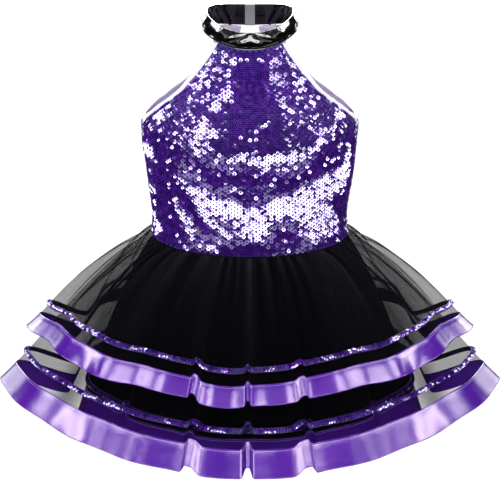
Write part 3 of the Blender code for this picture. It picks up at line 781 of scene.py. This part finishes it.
# Falls: distance down the cloth, and degrees below level there
UPPER_FALL = ((0.0, 4), (0.02, 18), (0.04, 32), (0.09, 40), (0.14, 49), (0.18, 45))
LOWER_FALL = ((0.0, 16), (0.04, 40), (0.09, 46), (0.14, 50), (0.245, 52))
UNDER_FALL = ((0.0, 50), (0.04, 63), (0.12, 69), (0.23, 72))
LINING_FALL = ((0.0, 56), (0.06, 66), (0.12, 75), (0.168, 85))
Tier = namedtuple("Tier", "fall drop inset braid hem ribbon rise flare tuck flutes height lean folds")
UPPER_TIER = Tier(
    UPPER_FALL, drop=0.0, inset=0.0, braid=0.142, hem=0.159, ribbon=0.021, rise=0.026, flare=0.004, tuck=0.56,
    flutes=20, height=0.0026, lean=0.0018, folds=UPPER_FOLDS,
)
LOWER_TIER = Tier(
    LOWER_FALL, drop=0.00135, inset=0.0, braid=0.195, hem=0.215, ribbon=0.0285, rise=0.018, flare=0.009,
    tuck=0.62, flutes=18, height=0.0028, lean=0.0022, folds=LOWER_FOLDS,
)
UNDER_TIER = Tier(
    UNDER_FALL, drop=0.0028, inset=0.0003, braid=0.178, hem=0.188, ribbon=0.029, rise=0.008, flare=0.0,
    tuck=0.30, flutes=12, height=0.0050, lean=0.0040, folds=UNDER_FOLDS,
)
LINING = Tier(
    LINING_FALL, drop=0.0042, inset=0.0014, braid=0.0, hem=0.168, ribbon=0.0, rise=0.006, flare=0.0,
    tuck=0.30, flutes=12, height=0.0030, lean=0.0020, folds=(),
)


def back_share(angle):
    """How far the cloth has gone over to the steep hang of the back: 0 in front, 1 in the side tucks."""
    turned = math.pi - np.abs(math.pi - angle % (2 * math.pi)) - TUCK_ANGLE
    front_part = np.exp(-((turned / TUCK_FRONT_SPREAD) ** 2))
    back_part = BACK_SHARE + (1 - BACK_SHARE) * np.exp(-((turned / TUCK_BACK_SPREAD) ** 2))
    return np.where(turned < 0, front_part, back_part)


def turned_from(angle, turn):
    return (np.degrees(angle) - turn + 180) % 360 - 180


def fold_depth(tier, angle):
    """How far the folds draw the hem in at an angle: each has a flat floor and steep walls."""
    deep = 0.0 * angle
    for turn, low_side, high_side, depth in tier.folds:
        turned = turned_from(angle, turn)
        deep += depth * np.exp(-((turned / np.where(turned < 0, low_side, high_side)) ** 4))
    return deep / 1000


def skirt(tier, angles, lengths):
    """Points of a gathered layer, a row for each length down its cloth and a column for each angle."""
    half_width, half_depth = SKIRT_HALF_WIDTH - tier.inset, SKIRT_HALF_DEPTH - tier.inset
    waist = round_body(angles, half_width, half_depth, WAIST - SEAM_GAP - TULLE_WALL / 2 - tier.drop)
    along = unit(np.stack((half_width * np.cos(angles), half_depth * np.sin(angles), 0 * angles), -1))
    outward = np.cross(along, UP)

    step = 0.0005
    marks = np.arange(0, tier.hem + tier.ribbon + 0.03, step)
    falls = np.array(tier.fall)
    slope = np.radians(np.interp(marks + step / 2, falls[:, 0], falls[:, 1]))[:, None]
    tuck = tier.tuck * back_share(angles)[None, :]
    slope = slope + (STEEP_SLOPE - slope) * tuck * np.minimum((marks + step / 2) / STEEP_START, 1.0)[:, None]
    nothing = np.zeros((1, len(angles)))
    out = np.concatenate((nothing, np.cumsum(np.cos(slope) * step, 0)))
    down = np.concatenate((nothing, np.cumsum(np.sin(slope) * step, 0)))

    lengths = np.asarray(lengths)[:, None]
    diagonal = np.abs(2 * outward[:, 0] * outward[:, 1]) ** RISE_POWER
    diagonal *= RISE_AT_CENTRE + (1 - RISE_AT_CENTRE) * outward[:, 0] ** 2
    reach = lengths - tier.rise * diagonal * np.minimum(lengths / tier.hem, 1.0)
    whole = np.clip(reach / step, 0, len(marks) - 1)
    low = whole.astype(int)
    share, column = whole - low, np.arange(len(angles))[None, :]
    out = (1 - share) * out[low, column] + share * out[low + 1, column]
    down = (1 - share) * down[low, column] + share * down[low + 1, column]
    points = waist + outward * out[..., None] - UP * down[..., None]

    grown = np.maximum(lengths / (tier.hem + tier.ribbon), 0) ** FLUTE_GROWTH
    points -= (outward - UP * FOLD_RISE) * (grown * fold_depth(tier, angles))[..., None]
    flare = tier.flare * np.maximum(lengths / (tier.hem + tier.ribbon), 0) ** FLARE_GROWTH
    points += UP * (flare * outward[:, 0] ** 4)[..., None]
    uneven = FLUTE_AT_SIDES + (1 - FLUTE_AT_SIDES) * np.cos(angles) ** 2
    uneven = uneven * (1 + sum(share * np.cos(waves * angles) for waves, share in SWELLS))
    turn = tier.flutes * angles
    points -= (outward + UP * FLUTE_LIFT) * (tier.height * grown * uneven * np.cos(turn))[..., None]
    return points - along * (tier.lean * grown * uneven * np.sin(turn))[..., None]


# Lining: an opaque taffeta cone, hemmed short of the tiers, in soft upright folds that catch a little grey.
# The cloth is a close black weave with a fine rib, drawn about 1.6 mm wide to show.
TAFFETA_RIB = 0.00157
taffeta, tree, shader = new_material("black_taffeta", Roughness=0.75, Specular_IOR_Level=0.01)
place = add_node(tree, "UVMap", uv_map="cloth").outputs["UV"]
ribs = add_node(tree, "TexWave", {"Vector": place, "Scale": WAVE / TAFFETA_RIB}, bands_direction="Y")
draw_pattern(tree, shader, ribs.outputs["Fac"], ((0.2, "#121117"), (0.8, "#1a1921")), 0.3, 0.0002)
LINING_WAVES, LINING_WAVE_HEIGHT = 34, 0.0011
angles = np.arange(480) * 2 * math.pi / 480
lengths = np.linspace(0, LINING.hem, 22)
grid = skirt(LINING, angles, lengths)
wave = np.sin(LINING_WAVES * angles + 1.7 * np.sin(4 * angles + 0.6)) * (0.6 + 0.4 * np.sin(5 * angles + 2))
wave = LINING_WAVE_HEIGHT * (lengths / LINING.hem)[:, None] ** 0.7 * wave
grid += grid_normals(grid, True) * wave[..., None]
lining = cloth("skirt_lining_cloth", grid, taffeta, run_along(grid), lengths, closed=True, wall=0.0006)
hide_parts("skirt_lining")
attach(lining, "root")

# Tulle: a soft nylon net, black, sheer in one layer. It looks denser where it turns away from the eye and
# in the gathers and pressed creases, where it lies double. Near the waist its colour is painted lighter in
# streaks, a painted sheen for the light its pleats would catch. Its holes, 1 mm wide, are drawn as 2 mm ones.
TULLE_HOLE, TULLE_SLANT, TULLE_CLOUD = 0.00196, 0.8, 0.0167
SHEER = 0.37
tulle, tree, shader = new_material("black_tulle", Roughness=0.8, Sheen_Weight=0.03, Specular_IOR_Level=0.0)
place = add_node(tree, "UVMap", uv_map="cloth").outputs["UV"]
lines = []
for slant in (TULLE_SLANT, -TULLE_SLANT):
    turned = add_node(tree, "Mapping", {"Vector": place, "Rotation": (0, 0, slant)})
    drawn = {"Vector": turned.outputs["Vector"], "Scale": WAVE / TULLE_HOLE}
    drawn = add_node(tree, "TexWave", drawn, bands_direction="X").outputs["Fac"]
    thinned = add_node(tree, "ValToRGB", {"Fac": drawn}, ((0.5, 0.0), (1.0, 1.0)))
    lines.append(thinned.outputs["Color"])
weave = add_node(tree, "Math", dict(enumerate(lines)), operation="MAXIMUM").outputs["Value"]
grain = add_node(tree, "TexNoise", {"Vector": place, "Scale": 1 / TULLE_CLOUD, "Detail": 4.0})
pressed = add_node(tree, "Attribute", attribute_name="pressed").outputs["Fac"]
facing = add_node(tree, "LayerWeight", {"Blend": 0.35}).outputs["Facing"]
density = SHEER
for part, amount in ((facing, 0.02), (pressed, 0.62), (weave, 0.08), (grain.outputs["Fac"], 0.10)):
    denser = add_node(tree, "Math", {0: part, 1: amount, 2: density}, operation="MULTIPLY_ADD")
    density = denser.outputs["Value"]
tree.links.new(add_node(tree, "Clamp", {"Value": density}).outputs[0], shader.inputs["Alpha"])
# Painted sheen: the net's colour goes lighter in streaks near the waist, painted for the light its pleats
# catch
painted_sheen_share = add_node(tree, "Attribute", attribute_name="painted_sheen").outputs["Fac"]
draw_pattern(tree, shader, painted_sheen_share, ((0.0, "#07060a"), (1.0, "#2b2932")))

# Pressed creases of the nets: degrees round, how far they lean round on the way down, where they start and
# end down the cloth in millimetres, half width in degrees, and how much darker they are. The wide ones are
# slack pressed in.
CREASE_HEIGHT = 0.0006
GATHER_START, GATHER_REACH = 0.006, 0.045
LOWER_CREASES = ((-56, 0, 80, 340, 6, 0.6), (56, 0, 80, 340, 6, 0.6))
UPPER_CREASES = (
    (-54, 0, 20, 190, 9, 0.62), (54, 0, 20, 190, 9, 0.62),
    (-97, -3, 6, 120, 0.83, 0.8), (-91, 4, 4, 150, 0.68, 0.8),
    (-86, -2, 10, 100, 0.9, 1), (-80, 5, 4, 140, 0.68, 0.8),
    (-73, 2, 6, 150, 0.75, 1), (-68, -3, 4, 120, 0.6, 1),
    (-62, 3, 8, 150, 0.75, 1), (-57, -2, 10, 110, 0.6, 0.8),
    (-44, 2, 6, 130, 0.9, 0.7), (-27, -2, 10, 120, 0.9, 0.7),
    (-9, 1, 6, 110, 0.9, 0.7), (12, -1, 8, 120, 0.9, 0.7),
    (31, 2, 6, 120, 0.9, 0.7), (47, -3, 10, 120, 0.75, 0.8),
    (59, 3, 6, 150, 0.75, 1), (66, -4, 8, 120, 0.6, 1),
    (72, 1, 4, 150, 0.75, 1), (79, -4, 8, 140, 0.68, 0.8),
    (85, 3, 4, 110, 0.9, 1), (92, -3, 6, 150, 0.68, 0.8),
    (118, 3, 6, 130, 0.9, 0.8), (131, -3, 8, 150, 0.75, 1),
    (152, 2, 6, 120, 0.9, 0.8), (169, -2, 8, 140, 0.75, 1),
    (186, 3, 6, 120, 0.9, 0.8), (204, -2, 6, 150, 0.75, 0.8),
    (221, 3, 8, 130, 0.9, 1), (239, -3, 6, 140, 0.75, 0.8),
)
# Painted sheen: how many light streaks are painted round the skirt, and how far down the cloth they fade
FINE_SHEEN_STREAKS, FINE_SHEEN_REACH = 47, 0.035
BROAD_SHEEN_STREAKS, BROAD_SHEEN_REACH = 13, 0.090


def skirt_angles(tier, count):
    """Even angles, and closer ones across the walls of the folds."""
    marks = [np.arange(count) * 2 * math.pi / count]
    for turn, low_side, high_side, depth in tier.folds:
        if depth > 0:
            widths = np.linspace(-1.8, 1.8, 25)
            widths = np.where(widths < 0, widths * low_side, widths * high_side)
            marks.append(np.radians(turn + widths) % (2 * math.pi))
    marks = np.sort(np.concatenate(marks))
    return marks[np.concatenate(([True], np.diff(marks) > 1e-4))]


def make_net(name, tier, creases, gathers, gather_height, doubled):
    """A tier's net, with how closely it is pressed and a painted sheen for its pleats as attributes."""
    angles = skirt_angles(tier, 720)
    lengths = np.concatenate((np.linspace(0, 0.02, 8)[:-1], np.linspace(0.02, tier.hem, 26)))
    grid = skirt(tier, angles, lengths)
    wave = np.sin(gathers * angles + 2.1 * np.sin(3 * angles) + 1.3 * np.sin(7 * angles + 1))[None, :]
    fade = ((1 - np.exp(-lengths / GATHER_START)) * np.exp(-lengths / GATHER_REACH))[:, None]
    relief = gather_height * fade * wave
    dark = 0.4 * np.maximum(wave, 0) ** 6 * np.exp(-lengths / 0.07)[:, None]
    for turn, drift, start, end, width, strength in creases:
        part = np.clip((lengths * 1000 - start) / (end - start), 0, 1)[:, None]
        off = turned_from(angles[None, :], turn + drift * part)
        line = strength * np.exp(-((off / width) ** 2)) * np.sin(math.pi * part) ** 0.5
        dark += line
        relief += CREASE_HEIGHT * line
    grid += grid_normals(grid, True) * relief[..., None]
    dark = np.clip(dark + doubled, 0, 1)
    # Painted sheen: light streaks painted into the net's colour, fading down the cloth
    fine = np.sin(FINE_SHEEN_STREAKS * angles + 3 * np.sin(5 * angles) + 2 * np.sin(11 * angles + 2))
    broad = np.sin(BROAD_SHEEN_STREAKS * angles + 2 * np.sin(4 * angles + 1))
    painted_sheen_amount = 0.8 * (0.5 + 0.5 * fine)[None, :] ** 3 * np.exp(-lengths / FINE_SHEEN_REACH)[:, None]
    painted_sheen_amount += 0.35 * np.maximum(broad, 0)[None, :] ** 2 * np.exp(-lengths / BROAD_SHEEN_REACH)[:, None]
    values = {"pressed": dark, "painted_sheen": painted_sheen_amount}
    return cloth(name, grid, tulle, run_along(grid), lengths, closed=True, values=values)


# Ribbon: double-faced violet satin carries each hem on. Its edges are woven firm, its upper one is sewn to
# the net with lavender thread, and slack between the stitches rolls it lighter and darker along its run.
# The dyed floats tint its shine a little pink.
ribbon_satin = satin_cloth(
    "violet_satin_ribbon", "#460493", "#540e9d", 0.4, Roughness=0.17, IOR=1.6, Specular_Tint=linear("#ffe9f7")
)
RIBBON_LIFTS = (0.0004, 0.0005, 0.0004, 0.0002, 0.0002, 0.0003)
UPPER_ROLLS = ((-50, 4.0, -9), (50, 4.0, -9))
LOWER_ROLLS = ((-50, 3.5, -9), (50, 3.5, -9))


def make_ribbon(name, tier, rolls):
    """A tier's ribbon. Its rolls are given in degrees: where round the skirt, half width, and tilt."""
    angles = skirt_angles(tier, 540)
    width = tier.ribbon
    lap = [-0.0015, -0.0008, 0.0005]  # where the upper edge is sewn down over the net's hem
    across = np.concatenate((lap, np.linspace(0.1, 0.9, 6) * width, [width - 0.0010, width]))
    grid = skirt(tier, angles, tier.hem + across)
    lift = np.interp(across, lap + [0.1 * width, 0.9 * width, width], RIBBON_LIFTS)
    tilt = 0.0 * angles
    for turn, half_width, degrees in rolls:
        tilt += degrees * np.exp(-((turned_from(angles, turn) / half_width) ** 2))
    rolled = np.clip(across / width, 0, 1)[:, None] * width * np.tan(np.radians(tilt))[None, :]
    grid += grid_normals(grid, True) * (lift[:, None] + rolled)[..., None]
    return cloth(name, grid, ribbon_satin, run_along(grid), across, closed=True, wall=0.0005)


# Stitches: spun polyester in lavender, 1.1 mm long, sewn at 2.4 mm, which is coarser than the real seam
STITCH_SIZE = (0.0011, 0.00042, 0.0003)
STITCH_PITCH = 0.0024
STITCH_LIFT = 0.0012
THREAD_TWIST = 0.0004
thread, tree, shader = new_material("lavender_thread", Roughness=0.5)
place = add_node(tree, "TexCoord").outputs["Object"]
twist = add_node(tree, "TexNoise", {"Vector": place, "Scale": 1 / THREAD_TWIST}).outputs["Fac"]
draw_pattern(tree, shader, twist, ((0.3, "#bba4e2"), (0.7, "#d8c8f4")))
shape = bmesh.new()
bmesh.ops.create_cube(shape, size=1.0)
bmesh.ops.scale(shape, verts=shape.verts, vec=STITCH_SIZE)
bmesh.ops.bevel(
    shape, geom=shape.edges[:], offset=0.0001, segments=1, profile=0.5, affect="EDGES", material=-1
)
bmesh.ops.triangulate(shape, faces=shape.faces)
shape.verts.index_update()
stitch_points = np.array([vert.co[:] for vert in shape.verts])
stitch_faces = np.array([[vert.index for vert in face.verts] for face in shape.faces])
shape.free()


def sewing_line(tier, lengths, lift, pitch):
    """Places a pitch apart round a tier, along the middle of three close lengths down its cloth and lifted
    off it, with axes there: along the line, across it and out."""
    grid = skirt(tier, skirt_angles(tier, 540), lengths)
    normals = grid_normals(grid, True)[1]
    line = grid[1] + normals * lift
    line, normals = np.concatenate((line, line[:1])), np.concatenate((normals, normals[:1]))
    run = line_run(line)
    count = int(run[-1] / pitch)
    marks = (np.arange(count) + 0.5) * run[-1] / count
    origins, along, out = (
        np.stack([np.interp(marks, run, part[:, axis]) for axis in range(3)], -1)
        for part in (line, np.gradient(line, axis=0), normals)
    )
    along = unit(along)
    across = unit(np.cross(out, along))
    return origins, along, across, np.cross(along, across)


def sew_ribbon(name, tier):
    lengths = tier.hem + np.array((-0.001, 0.0009, 0.002))
    origins, along, across, out = sewing_line(tier, lengths, STITCH_LIFT, STITCH_PITCH)
    return scatter(name, stitch_points, stitch_faces, origins, np.stack((along, across, out), 1), thread)


# Sequin braid: a woven violet strip with cupped rings of the same foil strung along it, each lapping the
# next. They stand steeply, and here and there, where the strip is slack, a few lie flat enough to flash.
BRAID_WIDTH = 0.0060
BRAID_PITCH = 0.0030
BRAID_RINGS = ((0.0006, 0.0), (0.0014, 0.0001), (0.0027, 0.0004))
BRAID_LIFT, STRIP_LIFT = 0.0019, 0.0008
BRAID_STEEPNESS, BRAID_SPREAD, FLASH_ROLL = 52, 7, 19
STRIP_WEFT = 0.000785
strip, tree, shader = new_material("violet_strip", Roughness=0.6)
place = add_node(tree, "UVMap", uv_map="cloth").outputs["UV"]
weft = add_node(tree, "TexWave", {"Vector": place, "Scale": WAVE / STRIP_WEFT}, bands_direction="X")
draw_pattern(tree, shader, weft.outputs["Fac"], ((0.2, "#180548"), (0.8, "#2a0c70")))
# Flashes: degrees round, and half width in degrees
UPPER_FLASHES = (
    (-59.5, 1.5), (-52.5, 1.5), (-35.9, 1.8), (-25.7, 1.9), (-13.8, 1.2), (-7.3, 1.1),
    (5.5, 1.2), (13, 1.2), (24, 1.6), (34.5, 2), (47, 1.5), (58, 1.5),
)
LOWER_FLASHES = (
    (-53.3, 1.8), (-48.2, 0.8), (-45.2, 0.9), (-38.8, 2.2), (-22, 0.9), (-8, 2),
    (4.8, 2.2), (12.4, 0.7), (22, 0.9), (37.8, 2.2), (44.5, 0.9), (51.2, 1.7),
)


def make_strip(name, tier):
    angles = skirt_angles(tier, 540)
    across = tier.braid + np.linspace(-0.5, 0.5, 5) * BRAID_WIDTH
    grid = skirt(tier, angles, across)
    grid += grid_normals(grid, True) * STRIP_LIFT
    return cloth(name, grid, strip, run_along(grid), across, closed=True, wall=0.0005)


def sew_braid(name, tier, flashes):
    lengths = tier.braid + np.array((-0.001, 0.0, 0.001))
    origins, along, across, out = sewing_line(tier, lengths, BRAID_LIFT, BRAID_PITCH)
    count = len(origins)
    turn = np.arctan2(origins[:, 0], -origins[:, 1])
    slack = 0.0 * turn
    for middle, half_width in flashes:
        slack += np.exp(-((turned_from(turn, middle) / half_width) ** 4))
    steep = (BRAID_STEEPNESS + rng.normal(0, BRAID_SPREAD, count)) * (1 - 0.8 * slack)
    steep = np.radians(np.clip(steep, 4, 68))[:, None]
    roll = rng.normal(0, BRAID_SPREAD, count) * (1 - 0.5 * slack)
    roll = np.radians(roll + (FLASH_ROLL - 9 * np.abs(np.sin(turn))) * slack)[:, None]
    along = along * np.where(turn > 0, -1, 1)[:, None]  # on both sides the rings face the front
    side = np.cos(roll) * across + np.sin(roll) * out
    lying = np.cos(roll) * out - np.sin(roll) * across
    facing = np.cos(steep) * lying + np.sin(steep) * along
    frames = np.stack((unit(np.cross(side, facing)), side, facing), 1)
    points, quads = pierced_disc(BRAID_RINGS, 9)
    values = {"tone": rng.random(count), "ring": ring_share(points)}
    return scatter(name, points, quads, origins, frames, foil, values)


# Tiers: each has its net's creases, its ribbon's rolls, its braid's flashes, the number and height of its
# gathers, how double its net lies, and its cuts: the hem's run, and the flat areas of the net and ribbon
for prefix, tier, creases, rolls, flashes, gathers, height, doubled, cuts in (
    ("upper_tier", UPPER_TIER, UPPER_CREASES, UPPER_ROLLS, UPPER_FLASHES, 86, 0.001, 0, (1.45, 0.2, 0.03)),
    ("lower_tier", LOWER_TIER, LOWER_CREASES, LOWER_ROLLS, LOWER_FLASHES, 74, 0.0008, 0, (1.7, 0.3, 0.048)),
    ("under_tier", UNDER_TIER, (), (), (), 60, 0.0006, 1, (1.1, 0.18, 0.031)),
):
    net = make_net(prefix + "_net", tier, creases, gathers, height, doubled)
    ribbon = make_ribbon(prefix + "_satin", tier, rolls)
    seam = sew_ribbon(prefix + "_stitches", tier)
    backing = make_strip(prefix + "_strip", tier)
    braid = sew_braid(prefix + "_sequins", tier, flashes)
    for piece, node, slot in (
        (net, "tulle", "tulle"), (ribbon, "ribbon", "violet_satin"), (backing, "braid", "sequin_braid")
    ):
        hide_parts(prefix + "_" + node)
    for piece in (net, ribbon, seam, backing, braid):
        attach(piece, "root")
